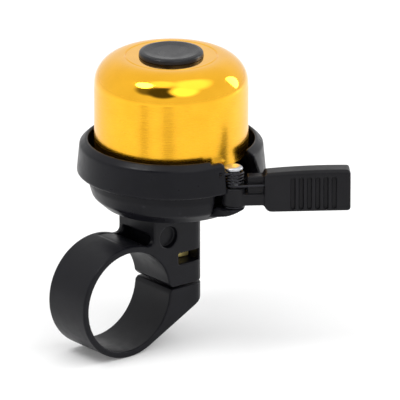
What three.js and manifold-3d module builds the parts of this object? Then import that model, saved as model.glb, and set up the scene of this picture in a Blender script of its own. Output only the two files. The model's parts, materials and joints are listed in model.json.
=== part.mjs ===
// Mini bicycle bell with a thumb lever, on a one-piece clamp for a 22.2 mm handlebar.
//
// Units are millimetres. The origin is the centre of the handlebar bore. +Y runs along the
// handlebar, +Z points up to the bell, and +X points to the side where the clamp is split.
// Three nested groups carry the pieces: the bell axis, the lever pivot and the hammer flex point.

import * as THREE from 'three';
import { mergeVertices } from 'three/addons/utils/BufferGeometryUtils.js';
import Module from 'manifold-3d';

// ---- Driving dimensions ----------------------------------------------------------------------

const HANDLEBAR_DIAMETER = 22.2;
const BAND_THICKNESS = 1.4;
const CLAMP_WIDTH = 12.4;
const SPLIT_GAP = 0.6;
const SPLIT_Z = 0.45; // middle of the split, beside the bore

const BELL_AXIS_X = 16.3; // also the axis of the centre screw and of the clamp screw
const PILLAR_X_MIN = 6.7;
const PILLAR_X_MAX = 20.7;
const PILLAR_CORNER_RADIUS = 2.6;
const LUG_CORNER_Z = -3.4; // where the lug's outer face turns into its slanted underside
const SAUCER_BOTTOM_Z = 18;

const SAUCER_RADIUS = 20.4;
const SAUCER_BAND_Z = 25.1; // underside of the thick upper band
const SAUCER_RIM_Z = 32.9;
const SAUCER_FLOOR_Z = 19.6;
const BOSS_TOP_Z = 20.3; // where the centre sleeve stands

const DOME_RADIUS = 16.6;
const DOME_SHEET = 1.1;
const DOME_BOTTOM_Z = 29.8;
const DOME_TOP_Z = 51;

const PIVOT_X = 1.6; // from the bell axis
const PIVOT_Y = -19.4;
const LEVER_ANGLE = THREE.MathUtils.degToRad(-35); // direction of the lever from +X, at rest
const HAMMER_ANGLE = THREE.MathUtils.degToRad(68); // direction of the hammer arm from +X
const HAMMER_REACH = 8.8; // from the pivot to the hammer
const FLEX_REACH = 4.1; // from the pivot to the rivet where the hammer arm flexes

const SCREW_RADIUS = 1.5; // M3
const SCREW_HOLE_RADIUS = 1.8;
const NUT_WIDTH = 5.4; // thin square M3 nut
const NUT_HEIGHT = 1.8;
const CENTRE_SCREW_LENGTH = 38;
const CLAMP_SCREW_LENGTH = 12;
const WASHER_RADIUS = 3.5;
const WASHER_HEIGHT = 0.5;

const CONTACT_GAP = 0.05; // between faces that rest on each other
const RUNNING_GAP = 0.25; // between a pin and its bore, all round

// ---- Materials -------------------------------------------------------------------------------

const finish = (color, roughness, metalness) => () =>
  new THREE.MeshStandardMaterial({ color, roughness, metalness });
const goldAnodised = finish(0xf5b921, 0.22, 1);
const blackPlastic = finish(0x24242b, 0.45, 0);
const nylon = finish(0xd9d6cc, 0.5, 0);
const steel = finish(0xb9bcc2, 0.3, 1);
const darkSteel = finish(0x5c5e63, 0.4, 1);
const brass = finish(0xc7a245, 0.35, 1);
const aluminium = finish(0xc4c7cb, 0.4, 1);

// ---- Solids ----------------------------------------------------------------------------------

const manifold = await Module();
manifold.setup();

// A closed three.js geometry as a solid that can be joined and cut.
function solid(geometry) {
  const bare = geometry.clone();
  bare.deleteAttribute('normal');
  bare.deleteAttribute('uv');
  const merged = mergeVertices(bare, 1e-4);
  const points = merged.attributes.position;
  const corner = [new THREE.Vector3(), new THREE.Vector3(), new THREE.Vector3()];
  const triangles = [];
  let volume = 0;
  for (let i = 0; i < merged.index.count; i += 3) {
    const [a, b, c] = [0, 1, 2].map((k) => merged.index.getX(i + k));
    if (a === b || b === c || c === a) continue;
    [a, b, c].forEach((vertex, k) => corner[k].fromBufferAttribute(points, vertex));
    volume += corner[0].dot(corner[1].cross(corner[2]));
    triangles.push([a, b, c]);
  }
  const outward = volume > 0 ? triangles : triangles.map(([a, b, c]) => [a, c, b]);
  return new manifold.Manifold(new manifold.Mesh({
    numProp: 3,
    vertProperties: new Float32Array(points.array),
    triVerts: new Uint32Array(outward.flat()),
  }));
}

const union = (...solids) => solids.reduce((a, b) => a.add(b));
const cut = (body, ...tools) => tools.reduce((a, b) => a.subtract(b), body);

function geometryOf(shape) {
  const { vertProperties, triVerts } = shape.getMesh();
  const geometry = new THREE.BufferGeometry();
  geometry.setAttribute('position', new THREE.BufferAttribute(vertProperties, 3));
  geometry.setIndex(new THREE.BufferAttribute(triVerts, 1));
  return geometry;
}

// A named mesh made from a solid.
function piece(name, shape, material) {
  const geometry = geometryOf(shape);
  geometry.computeVertexNormals();
  const mesh = new THREE.Mesh(geometry, material());
  mesh.name = name;
  return mesh;
}

// A closed outline through corners [x, y, radius]; a corner with a radius is rounded.
function outline(corners) {
  const shape = new THREE.Shape();
  const at = (i) => new THREE.Vector2(...corners[(i + corners.length) % corners.length]);
  corners.forEach(([x, y, radius = 0], i) => {
    const here = new THREE.Vector2(x, y);
    const toBefore = at(i - 1).sub(here).normalize();
    const toAfter = at(i + 1).sub(here).normalize();
    const halfAngle = Math.acos(THREE.MathUtils.clamp(toBefore.dot(toAfter), -1, 1)) / 2;
    const setback = radius / Math.tan(halfAngle);
    const start = here.clone().addScaledVector(toBefore, setback);
    const end = here.clone().addScaledVector(toAfter, setback);
    if (i === 0) shape.moveTo(start.x, start.y);
    else shape.lineTo(start.x, start.y);
    if (radius > 0) shape.quadraticCurveTo(x, y, end.x, end.y);
  });
  shape.closePath();
  return shape;
}

function rectangle(xMin, xMax, yMin, yMax, radius = 0) {
  return outline([
    [xMin, yMin, radius],
    [xMax, yMin, radius],
    [xMax, yMax, radius],
    [xMin, yMax, radius],
  ]);
}

function disc(radius, x = 0, y = 0) {
  const shape = new THREE.Shape();
  shape.absarc(x, y, radius, 0, 2 * Math.PI);
  return shape;
}

// A plan outline raised from zMin to zMax.
function raised(shape, zMin, zMax, curveSegments = 12) {
  const geometry = new THREE.ExtrudeGeometry(shape, {
    depth: zMax - zMin,
    bevelEnabled: false,
    curveSegments,
  });
  return solid(geometry.translate(0, 0, zMin));
}

// An upright outline (u, z) pushed sideways. At angle 0, u is X and the push goes along -Y,
// from depth `near` to depth `far`; the whole is then turned about Z by the angle.
function pushed(shape, near, far, angle = 0, curveSegments = 12) {
  const geometry = new THREE.ExtrudeGeometry(shape, {
    depth: far - near,
    bevelEnabled: false,
    curveSegments,
  });
  return solid(geometry.translate(0, 0, near).rotateX(Math.PI / 2).rotateZ(angle));
}

// A profile of [radius, z] turned about Z. It starts and ends on the axis, or closes on itself.
function turned(profile, segments) {
  const points = Array.isArray(profile)
    ? profile.map(([radius, z]) => new THREE.Vector2(radius, z))
    : profile.getPoints(3);
  if (points[0].x > 0) points.push(points[0].clone());
  return solid(new THREE.LatheGeometry(points, segments).rotateX(Math.PI / 2));
}

function cylinder(radius, zMin, zMax, x = 0, y = 0, segments = 32) {
  const geometry = new THREE.CylinderGeometry(radius, radius, zMax - zMin, segments);
  return solid(geometry.rotateX(Math.PI / 2).translate(x, y, (zMin + zMax) / 2));
}

// A flat ring from zMin to zMax.
function ring(innerRadius, outerRadius, zMin, zMax, segments = 32) {
  return turned([
    [innerRadius, zMin],
    [outerRadius, zMin],
    [outerRadius, zMax],
    [innerRadius, zMax],
  ], segments);
}

const along = (angle, distance) =>
  new THREE.Vector2(Math.cos(angle) * distance, Math.sin(angle) * distance);

// ---- Fasteners -------------------------------------------------------------------------------

// The cross of a screwdriver socket, as a tool to cut from a head.
function crossSocket(zMin, zMax) {
  const armLength = 1.5;
  const armWidth = 0.35;
  return union(
    raised(rectangle(-armLength, armLength, -armWidth, armWidth), zMin, zMax),
    raised(rectangle(-armWidth, armWidth, -armLength, armLength), zMin, zMax),
  );
}

// A pan-head machine screw. `up` is 1 when the head is at the top and -1 when it is below.
function panScrew(seatZ, up, length, headRadius, headHeight) {
  const tipChamfer = 0.4;
  const profile = [
    [0, seatZ + up * headHeight],
    [headRadius * 0.72, seatZ + up * headHeight],
    [headRadius * 0.94, seatZ + up * headHeight * 0.72],
    [headRadius, seatZ + up * headHeight * 0.35],
    [headRadius, seatZ],
    [SCREW_RADIUS, seatZ],
    [SCREW_RADIUS, seatZ - up * (length - tipChamfer)],
    [SCREW_RADIUS - tipChamfer, seatZ - up * length],
    [0, seatZ - up * length],
  ];
  const socketFloor = seatZ + up * headHeight * 0.3;
  const socketMouth = seatZ + up * (headHeight + 1);
  const socket = crossSocket(
    Math.min(socketFloor, socketMouth),
    Math.max(socketFloor, socketMouth),
  );
  return cut(turned(profile, 32), socket);
}

function squareNut(zMin) {
  const half = NUT_WIDTH / 2;
  const body = raised(rectangle(-half, half, -half, half, 0.3), zMin, zMin + NUT_HEIGHT, 2);
  return cut(body, cylinder(SCREW_HOLE_RADIUS, zMin - 1, zMin + NUT_HEIGHT + 1));
}

// ---- Clamp bracket: band, pillar and lug in one moulding ---------------------------------------

const BORE_RADIUS = HANDLEBAR_DIAMETER / 2;
const BAND_RADIUS = BORE_RADIUS + BAND_THICKNESS;
const HALF_WIDTH = CLAMP_WIDTH / 2;

const CLAMP_NUT_SLOT = { bottom: 5.5, top: 8.1 }; // opens to -Y
const BASE_NUT_SLOT = { bottom: 13.8, top: 16.2 }; // opens to +Y
const CLAMP_HEAD_SEAT_Z = -3;
const CLAMP_HEAD_BORE_RADIUS = 3.75;
const CLAMP_SCREW_HOLE_TOP_Z = 9.4; // both screws end in blind holes
const CENTRE_SCREW_HOLE_BOTTOM_Z = 11.3;
const SIDE_RECESS = { x: 10.7, z: 12.5, radius: 2.4, depth: 1.2 };
const KEY_HALF = 4.5; // square key on top of the pillar, which stops the saucer turning
const KEY_HEIGHT = 0.8;

// Side view of the bracket: the band is open at the split, and the outline runs round both lips.
function bracketOutline() {
  const lipTop = SPLIT_Z + SPLIT_GAP / 2;
  const lipBottom = SPLIT_Z - SPLIT_GAP / 2;
  const lipChamfer = 0.7;
  const lugCorner = new THREE.Vector2(PILLAR_X_MAX, LUG_CORNER_Z);
  const tangentAngle = lugCorner.angle() - Math.acos(BAND_RADIUS / lugCorner.length());
  const filletX = 5;
  const filletAngle = Math.acos(filletX / BAND_RADIUS);
  const boreAngle = (z) => Math.asin(z / BORE_RADIUS);
  const shape = new THREE.Shape();
  shape.moveTo(PILLAR_X_MAX, SAUCER_BOTTOM_Z - CONTACT_GAP);
  shape.lineTo(PILLAR_X_MIN, SAUCER_BOTTOM_Z - CONTACT_GAP);
  shape.lineTo(PILLAR_X_MIN, 13);
  shape.quadraticCurveTo(PILLAR_X_MIN, 12, filletX, BAND_RADIUS * Math.sin(filletAngle));
  shape.absarc(0, 0, BAND_RADIUS, filletAngle, tangentAngle);
  shape.lineTo(lugCorner.x, lugCorner.y);
  shape.lineTo(PILLAR_X_MAX, lipBottom);
  shape.lineTo(BORE_RADIUS + lipChamfer, lipBottom);
  const lowerLip = -boreAngle(lipChamfer - lipBottom);
  const upperLip = boreAngle(lipChamfer + lipTop);
  shape.lineTo(BORE_RADIUS * Math.cos(lowerLip), BORE_RADIUS * Math.sin(lowerLip));
  shape.absarc(0, 0, BORE_RADIUS, lowerLip, upperLip, true);
  shape.lineTo(BORE_RADIUS + lipChamfer, lipTop);
  shape.lineTo(PILLAR_X_MAX, lipTop);
  return shape;
}

// The pillar's plan, with its outer corners rounded; the band passes below it untouched.
function bracketPlan() {
  const farLeft = -BAND_RADIUS - 1;
  return outline([
    [farLeft, -HALF_WIDTH],
    [PILLAR_X_MAX, -HALF_WIDTH, PILLAR_CORNER_RADIUS],
    [PILLAR_X_MAX, HALF_WIDTH, PILLAR_CORNER_RADIUS],
    [farLeft, HALF_WIDTH],
  ]);
}

// A pocket cored into the pillar's inner face; the band runs on as its floor.
function pillarPocket() {
  const pocketHalf = 4.7;
  const pocketDepth = 2.5;
  const pocketTop = 13.2;
  const box = raised(
    rectangle(2, PILLAR_X_MIN + pocketDepth, -pocketHalf, pocketHalf),
    9,
    pocketTop,
  );
  const bandOutside = pushed(disc(BAND_RADIUS), -HALF_WIDTH, HALF_WIDTH, 0, 48);
  return cut(box, bandOutside);
}

function clampBracket() {
  const body = pushed(bracketOutline(), -HALF_WIDTH, HALF_WIDTH, 0, 48)
    .intersect(raised(bracketPlan(), -20, 30, 6));
  const key = raised(
    rectangle(BELL_AXIS_X - KEY_HALF, PILLAR_X_MAX - 0.4, -KEY_HALF, KEY_HALF, 0.5),
    SAUCER_BOTTOM_Z - 0.5,
    SAUCER_BOTTOM_Z + KEY_HEIGHT,
    2,
  );
  const slotHalf = NUT_WIDTH / 2 + 0.2;
  const slotDepth = HALF_WIDTH + slotHalf;
  const slotSides = [BELL_AXIS_X - slotHalf, BELL_AXIS_X + slotHalf];
  const clampNutSlot = pushed(
    rectangle(...slotSides, CLAMP_NUT_SLOT.bottom, CLAMP_NUT_SLOT.top),
    HALF_WIDTH - slotDepth,
    HALF_WIDTH + 1,
  );
  const baseNutSlot = pushed(
    rectangle(...slotSides, BASE_NUT_SLOT.bottom, BASE_NUT_SLOT.top),
    -HALF_WIDTH - 1,
    slotDepth - HALF_WIDTH,
  );
  const sideRecess = pushed(
    disc(SIDE_RECESS.radius, SIDE_RECESS.x, SIDE_RECESS.z),
    HALF_WIDTH - SIDE_RECESS.depth,
    HALF_WIDTH + 1,
  );
  const clampScrewHole = cylinder(
    SCREW_HOLE_RADIUS,
    CLAMP_HEAD_SEAT_Z - 1,
    CLAMP_SCREW_HOLE_TOP_Z,
    BELL_AXIS_X,
  );
  const clampHeadBore = cylinder(
    CLAMP_HEAD_BORE_RADIUS,
    -15,
    CLAMP_HEAD_SEAT_Z,
    BELL_AXIS_X,
  );
  const centreScrewHole = cylinder(
    SCREW_HOLE_RADIUS,
    CENTRE_SCREW_HOLE_BOTTOM_Z,
    SAUCER_BOTTOM_Z + KEY_HEIGHT + 1,
    BELL_AXIS_X,
  );
  return cut(
    union(body, key),
    pillarPocket(),
    clampNutSlot,
    baseNutSlot,
    sideRecess,
    clampScrewHole,
    clampHeadBore,
    centreScrewHole,
  );
}

// ---- Base saucer -----------------------------------------------------------------------------

const TONGUE_TOP_Z = 21.7;
const CUTOUT_ANGLE = THREE.MathUtils.degToRad(-80); // middle of the lever's cut-out
const PIN_RADIUS = 1.25;
const STOP_RADIUS = 0.8;
const TAIL_HALF_WIDTH = 1.4;
const SPRING_WIRE_RADIUS = 0.27;
const SPRING_ANCHOR = { u: -4.35, w: 18.5, z: 29.6, depth: 1.4 }; // hole in the cut-out's left end

// Half section of the saucer as [radius, z], from the outer foot up and round to the inside.
function saucerProfile() {
  const footRadius = 14.8;
  const bowlRadius = 17.9;
  const bowlInside = 16.3;
  const bowlShoulderZ = 22.8; // where the bowl's wall turns upright
  const rimInside = 17.8;
  return outline([
    [SCREW_HOLE_RADIUS, SAUCER_BOTTOM_Z],
    [footRadius, SAUCER_BOTTOM_Z],
    [bowlRadius - 0.8, 20.1, 1.5],
    [bowlRadius, bowlShoulderZ],
    [bowlRadius, SAUCER_BAND_Z],
    [SAUCER_RADIUS - 0.2, SAUCER_BAND_Z],
    [SAUCER_RADIUS, SAUCER_BAND_Z + 0.3],
    [SAUCER_RADIUS - 0.6, SAUCER_RIM_Z - 1.6, 0.8],
    [rimInside + 0.4, SAUCER_RIM_Z],
    [rimInside, SAUCER_RIM_Z - 0.1],
    [rimInside - 0.2, SAUCER_BAND_Z + 1.6],
    [bowlInside, SAUCER_BAND_Z + 0.1],
    [bowlInside, bowlShoulderZ],
    [footRadius - 1.2, SAUCER_FLOOR_Z],
    [4.4, SAUCER_FLOOR_Z],
    [4.2, BOSS_TOP_Z],
    [SCREW_HOLE_RADIUS, BOSS_TOP_Z],
  ]);
}

// The cut-out for the lever, seen from outside: a wide slot low down in the bowl, and above it
// a gap in the band whose right end leans away.
function leverCutout() {
  const slotLeft = -5.1;
  const slotRight = 5.4;
  const shape = outline([
    [slotLeft, SAUCER_FLOOR_Z],
    [slotRight, SAUCER_FLOOR_Z],
    [slotRight, SAUCER_BAND_Z],
    [slotRight + 2.8, SAUCER_BAND_Z],
    [slotRight - 2, SAUCER_RIM_Z + 1],
    [SPRING_ANCHOR.u, SAUCER_RIM_Z + 1],
    [SPRING_ANCHOR.u, SAUCER_BAND_Z],
    [slotLeft, SAUCER_BAND_Z],
  ]);
  return pushed(shape, 12, SAUCER_RADIUS + 4, CUTOUT_ANGLE + Math.PI / 2);
}

// A shallow step in the rim beside the cut-out.
function rimStep() {
  const shape = rectangle(-6.8, 0, SAUCER_RIM_Z - 1, SAUCER_RIM_Z + 1);
  return pushed(shape, 12, SAUCER_RADIUS + 4, CUTOUT_ANGLE + Math.PI / 2);
}

// The tongue below the lever: flat on top, rising underneath towards its tip.
function tongue() {
  const plan = outline([
    [-2.4, -12.8],
    [-1.3, -22.1, 2.6],
    [4.5, -22.1, 2.6],
    [7.5, -17, 1],
    [7.5, -12.2],
  ]);
  const rise = 0.35;
  const riseAngle = THREE.MathUtils.degToRad(-46);
  const foot = new THREE.Vector2(-2.2, -14.8);
  const footAlong = foot.dot(along(riseAngle, 1));
  const footZ = SAUCER_BOTTOM_Z + 0.5;
  const reach = 14;
  const below = pushed(
    outline([
      [footAlong - reach, footZ - rise * reach],
      [footAlong + reach, footZ + rise * reach],
      [footAlong + reach, SAUCER_BOTTOM_Z - reach],
      [footAlong - reach, SAUCER_BOTTOM_Z - reach],
    ]),
    -30,
    30,
    riseAngle,
  );
  const innerRamp = pushed(
    outline([
      [10, TONGUE_TOP_Z + 1],
      [10, SAUCER_FLOOR_Z],
      [14.4, SAUCER_FLOOR_Z],
      [17, TONGUE_TOP_Z],
      [17, TONGUE_TOP_Z + 1],
    ]),
    -15,
    15,
    CUTOUT_ANGLE,
  );
  return cut(raised(plan, SAUCER_BOTTOM_Z, TONGUE_TOP_Z, 8), below, innerRamp);
}

// Post that the lever's tail rests against.
function restStop() {
  const tailDistance = 4.9;
  const side = TAIL_HALF_WIDTH + 0.15 + STOP_RADIUS;
  const spot = along(HAMMER_ANGLE, tailDistance).add(along(HAMMER_ANGLE - Math.PI / 2, side));
  return cylinder(STOP_RADIUS, TONGUE_TOP_Z - 1, 24.4, PIVOT_X + spot.x, PIVOT_Y + spot.y, 20);
}

function springAnchorHole() {
  const { u, w, z, depth } = SPRING_ANCHOR;
  const hole = new THREE.CylinderGeometry(0.55, 0.55, depth + 0.5, 12);
  hole.rotateZ(Math.PI / 2);
  hole.translate(u - depth / 2 + 0.25, -w, z);
  return solid(hole.rotateZ(CUTOUT_ANGLE + Math.PI / 2));
}

function baseSaucer() {
  const keyPocket = raised(
    rectangle(
      -KEY_HALF - RUNNING_GAP,
      PILLAR_X_MAX - BELL_AXIS_X - 0.4 + RUNNING_GAP,
      -KEY_HALF - RUNNING_GAP,
      KEY_HALF + RUNNING_GAP,
      0.5,
    ),
    SAUCER_BOTTOM_Z - 1,
    SAUCER_BOTTOM_Z + KEY_HEIGHT + 0.1,
    2,
  );
  const bowl = cut(turned(saucerProfile(), 60), leverCutout(), rimStep());
  return cut(
    union(bowl, tongue(), restStop()),
    keyPocket,
    springAnchorHole(),
    cylinder(PIN_RADIUS + CONTACT_GAP, 15, 25, PIVOT_X, PIVOT_Y),
  );
}

// ---- Dome and the stack on the bell axis ---------------------------------------------------------

const DIMPLE_FLOOR_Z = 48.7; // outer face of the sheet, below the cap
const DOME_HOLE_RADIUS = 2.3;
const SLEEVE_BOTTOM_Z = BOSS_TOP_Z + CONTACT_GAP;
const BUSH_BOTTOM_Z = DIMPLE_FLOOR_Z - DOME_SHEET - 0.8;
const CENTRE_SEAT_Z = DIMPLE_FLOOR_Z + 1.25;

// One closed half section: up the outside, down into the dimple, and back along the inside.
function dome() {
  const shoulder = 6.2;
  const inner = DOME_RADIUS - DOME_SHEET;
  const innerTop = DOME_TOP_Z - DOME_SHEET;
  const groove = 9.9;
  const profile = new THREE.Path();
  profile.moveTo(DOME_HOLE_RADIUS, DIMPLE_FLOOR_Z - DOME_SHEET);
  profile.lineTo(6.2, DIMPLE_FLOOR_Z - DOME_SHEET);
  profile.lineTo(6.9, innerTop);
  profile.lineTo(inner - shoulder + DOME_SHEET, innerTop);
  profile.quadraticCurveTo(inner, innerTop, inner, innerTop - shoulder + DOME_SHEET);
  profile.lineTo(inner, DOME_BOTTOM_Z + 0.2);
  profile.lineTo(inner + 0.2, DOME_BOTTOM_Z);
  profile.lineTo(DOME_RADIUS - 0.2, DOME_BOTTOM_Z);
  profile.lineTo(DOME_RADIUS, DOME_BOTTOM_Z + 0.2);
  profile.lineTo(DOME_RADIUS, DOME_TOP_Z - shoulder);
  profile.absarc(DOME_RADIUS - shoulder, DOME_TOP_Z - shoulder, shoulder, 0, Math.PI / 2);
  profile.lineTo(groove + 0.2, DOME_TOP_Z);
  profile.lineTo(groove, DOME_TOP_Z - 0.2);
  profile.lineTo(groove - 0.2, DOME_TOP_Z);
  profile.lineTo(6.1, DOME_TOP_Z);
  profile.lineTo(5.5, DIMPLE_FLOOR_Z);
  profile.lineTo(DOME_HOLE_RADIUS, DIMPLE_FLOOR_Z);
  return turned(profile.getPoints(6).map(({ x, y }) => [x, y]), 56);
}

// The cap snaps into the dimple over the screw head. Its top is slightly dished.
function topCap() {
  const base = DOME_TOP_Z + CONTACT_GAP;
  const profile = [
    [0, base + 0.45],
    [4.3, base + 0.45],
    [4.3, DIMPLE_FLOOR_Z + 0.2],
    [5.2, DIMPLE_FLOOR_Z + 0.2],
    [5.4, base],
    [7, base],
    [6.9, base + 0.6],
    [6.6, base + 0.97],
    [6, base + 1.1],
    [4.8, base + 0.95],
    [0, base + 0.75],
  ];
  return turned(profile, 40);
}

// Insulating bush: a flange below the dome and a neck through its hole.
function domeBush() {
  const flangeTop = DIMPLE_FLOOR_Z - DOME_SHEET - CONTACT_GAP;
  return turned([
    [SCREW_HOLE_RADIUS, BUSH_BOTTOM_Z],
    [4, BUSH_BOTTOM_Z],
    [4, flangeTop],
    [DOME_HOLE_RADIUS - 0.1, flangeTop],
    [DOME_HOLE_RADIUS - 0.1, DIMPLE_FLOOR_Z - 0.05],
    [SCREW_HOLE_RADIUS, DIMPLE_FLOOR_Z - 0.05],
  ], 40);
}

// Split ring under the screw head.
function springWasher(zMin) {
  const gapAngle = 0.16;
  const shape = new THREE.Shape();
  shape.absarc(0, 0, 2.8, gapAngle, 2 * Math.PI - gapAngle);
  shape.absarc(0, 0, SCREW_HOLE_RADIUS, 2 * Math.PI - gapAngle, gapAngle, true);
  return raised(shape, zMin, zMin + 0.6, 16);
}

// ---- Lever, in its own frame: x runs along the lever from the pivot, y to its back ---------------

const HUB_BOTTOM_Z = 22.2;
const HUB_TOP_Z = 26.2;
const HUB_RADIUS = 2.5;
const ARM_TOP_Z = 24.8;
const ARM_HALF_WIDTH = 1.7;
const WEB_TOP_Z = 28.6; // the web stands on the arm beside the spring, against the pad's end
const WEB_START = 2.9;
const WEB_FRONT = -0.9;
const PAD_START = 6.5;
const PAD_END = 25;
const PAD_BOTTOM_Z = 20.9;
const PAD_HALF_THICKNESS = 2.3;
const RIVET_RADIUS = 0.7;
const ARM_STRIP_Z = 24.7; // underside of the hammer's leaf arm
const SPRING_LEG_Z = 26.8;

function padOutline() {
  return outline([
    [PAD_START, PAD_BOTTOM_Z, 1.6],
    [PAD_END, PAD_BOTTOM_Z, 0.7],
    [PAD_END, 29.95, 0.3],
    [19, 30.1, 2],
    [PAD_START, 29.45, 0.7],
  ]);
}

// Six blind grooves down the front of the pad, round at the top.
function padGrooves() {
  const firstGroove = 12.6;
  const pitch = 1.77;
  const half = 0.5;
  const grooveTop = 28.6;
  const grooveBottom = PAD_BOTTOM_Z + 0.5;
  const grooves = Array.from({ length: 6 }, (_, i) => {
    const x = firstGroove + i * pitch;
    return pushed(
      outline([
        [x - half, grooveBottom],
        [x + half, grooveBottom],
        [x + half, grooveTop, half * 0.9],
        [x - half, grooveTop, half * 0.9],
      ]),
      PAD_HALF_THICKNESS - 0.7,
      PAD_HALF_THICKNESS + 1,
      0,
      3,
    );
  });
  return union(...grooves);
}

function thumbLever() {
  const pad = pushed(padOutline(), -PAD_HALF_THICKNESS, PAD_HALF_THICKNESS, 0, 8);
  const hub = cylinder(HUB_RADIUS, HUB_BOTTOM_Z, HUB_TOP_Z, 0, 0, 40);
  const arm = raised(
    rectangle(0, PAD_START + 1, -ARM_HALF_WIDTH, ARM_HALF_WIDTH),
    HUB_BOTTOM_Z,
    ARM_TOP_Z,
  );
  const web = raised(
    rectangle(WEB_START, PAD_START + 1, WEB_FRONT, ARM_HALF_WIDTH),
    ARM_TOP_Z - 0.5,
    WEB_TOP_Z,
  );
  const tailAngle = HAMMER_ANGLE - LEVER_ANGLE;
  const tailOutline = rectangle(0, 6, HUB_BOTTOM_Z + 0.2, ARM_STRIP_Z - CONTACT_GAP);
  const tail = pushed(tailOutline, -TAIL_HALF_WIDTH, TAIL_HALF_WIDTH, tailAngle);
  const rivetSpot = along(tailAngle, FLEX_REACH);
  const legHole = new THREE.CylinderGeometry(0.5, 0.5, 2.4, 12)
    .rotateZ(Math.PI / 2)
    .translate(PAD_START, -1.5, SPRING_LEG_Z);
  return cut(
    union(pad, hub, arm, web, tail),
    padGrooves(),
    cylinder(PIN_RADIUS + RUNNING_GAP, 15, 35),
    cylinder(RIVET_RADIUS + CONTACT_GAP, 15, 35, rivetSpot.x, rivetSpot.y, 24),
    solid(legHole),
  );
}

// Shouldered pin with a domed head above the spring.
function pivotPin() {
  return turned([
    [0, 20.5],
    [PIN_RADIUS, 20.5],
    [PIN_RADIUS, 30.15],
    [2, 30.15],
    [2, 30.5],
    [1.6, 30.85],
    [0, 30.95],
  ], 32);
}

function pivotWasher() {
  const bottom = TONGUE_TOP_Z + CONTACT_GAP;
  return ring(PIN_RADIUS + RUNNING_GAP, HUB_RADIUS - 0.1, bottom, HUB_BOTTOM_Z - CONTACT_GAP);
}

// Torsion spring round the pin. The wire runs from its anchor in the saucer, down the coil in
// counter-clockwise turns, and out along the lever into the end of the pad.
function torsionSpring() {
  const coilRadius = 2;
  const coilTop = SPRING_ANCHOR.z;
  const anchorFrame = CUTOUT_ANGLE + Math.PI / 2;
  const anchorAt = (u) => along(anchorFrame, u)
    .add(along(CUTOUT_ANGLE, SPRING_ANCHOR.w))
    .sub(new THREE.Vector2(PIVOT_X, PIVOT_Y));
  const anchorEnd = anchorAt(SPRING_ANCHOR.u - SPRING_ANCHOR.depth + 0.3);
  const anchorMouth = anchorAt(SPRING_ANCHOR.u + 0.3);
  const startAngle = THREE.MathUtils.degToRad(205);
  const exitAngle = LEVER_ANGLE - Math.PI / 2 + 2 * Math.PI;
  const turns = 4;
  const sweep = exitAngle - startAngle + turns * 2 * Math.PI;
  const stepsPerTurn = 14;
  const steps = Math.round((sweep / (2 * Math.PI)) * stepsPerTurn);
  const points = [
    new THREE.Vector3(anchorEnd.x, anchorEnd.y, coilTop),
    new THREE.Vector3(anchorMouth.x, anchorMouth.y, coilTop),
  ];
  for (let i = 0; i <= steps; i += 1) {
    const spot = along(startAngle + (sweep * i) / steps, coilRadius);
    const z = coilTop + ((SPRING_LEG_Z - coilTop) * i) / steps;
    points.push(new THREE.Vector3(spot.x, spot.y, z));
  }
  const legAt = (x, y) => {
    const spot = new THREE.Vector2(x, y).rotateAround(new THREE.Vector2(), LEVER_ANGLE);
    return new THREE.Vector3(spot.x, spot.y, SPRING_LEG_Z);
  };
  points.push(legAt(2.5, -1.9), legAt(PAD_START - 0.6, -1.5), legAt(PAD_START + 0.8, -1.5));
  const wire = new THREE.CatmullRomCurve3(points, false, 'centripetal');
  return solid(new THREE.ExtrudeGeometry(disc(SPRING_WIRE_RADIUS), {
    steps: steps + 8,
    extrudePath: wire,
    curveSegments: 3,
  }));
}

// ---- Hammer, in its own frame: x runs along the arm from the rivet --------------------------------

const STRIP_THICKNESS = 0.5;
const HAMMER_X = HAMMER_REACH - FLEX_REACH;

function hammerArm() {
  const strip = raised(
    outline([
      [-1.2, -1.2, 0.6],
      [HAMMER_X, -1.2],
      [HAMMER_X + 1.3, -1.2, 0.9],
      [HAMMER_X + 1.3, 1.2, 0.9],
      [-1.2, 1.2, 0.6],
    ]),
    ARM_STRIP_Z,
    ARM_STRIP_Z + STRIP_THICKNESS,
    4,
  );
  return cut(
    strip,
    cylinder(RIVET_RADIUS + CONTACT_GAP, 20, 30, 0, 0, 24),
    cylinder(0.75, 20, 30, HAMMER_X, 0, 24),
  );
}

// Turned brass stud, with its tail through the arm and closed over below.
function hammerHead() {
  const seat = ARM_STRIP_Z + STRIP_THICKNESS + CONTACT_GAP;
  const under = ARM_STRIP_Z - CONTACT_GAP;
  const stud = turned([
    [0, under - 0.45],
    [0.8, under - 0.4],
    [1.1, under],
    [0.7, under],
    [0.7, seat],
    [1.5, seat],
    [1.5, 33],
    [1.2, 33.8],
    [0.6, 34.2],
    [0, 34.3],
  ], 32);
  return solid(geometryOf(stud).translate(HAMMER_X, 0, 0));
}

// Rivet that joins the arm to the lever's tail.
function armRivet() {
  const top = ARM_STRIP_Z + STRIP_THICKNESS + CONTACT_GAP;
  const bottom = HUB_BOTTOM_Z + 0.2 - CONTACT_GAP;
  return turned([
    [0, bottom - 0.3],
    [1, bottom - 0.25],
    [1.1, bottom],
    [RIVET_RADIUS, bottom],
    [RIVET_RADIUS, top],
    [1.1, top],
    [1, top + 0.35],
    [0, top + 0.45],
  ], 24);
}

// ---- Assembly --------------------------------------------------------------------------------

function group(x, y, angle, ...children) {
  const frame = new THREE.Group();
  frame.position.set(x, y, 0);
  frame.rotation.z = angle;
  frame.add(...children);
  return frame;
}

const hammerFrame = group(
  ...along(HAMMER_ANGLE, FLEX_REACH).toArray(),
  HAMMER_ANGLE,
  piece('hammer_arm', hammerArm(), steel),
  piece('hammer_head', hammerHead(), brass),
  piece('arm_rivet', armRivet(), steel),
);

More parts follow.
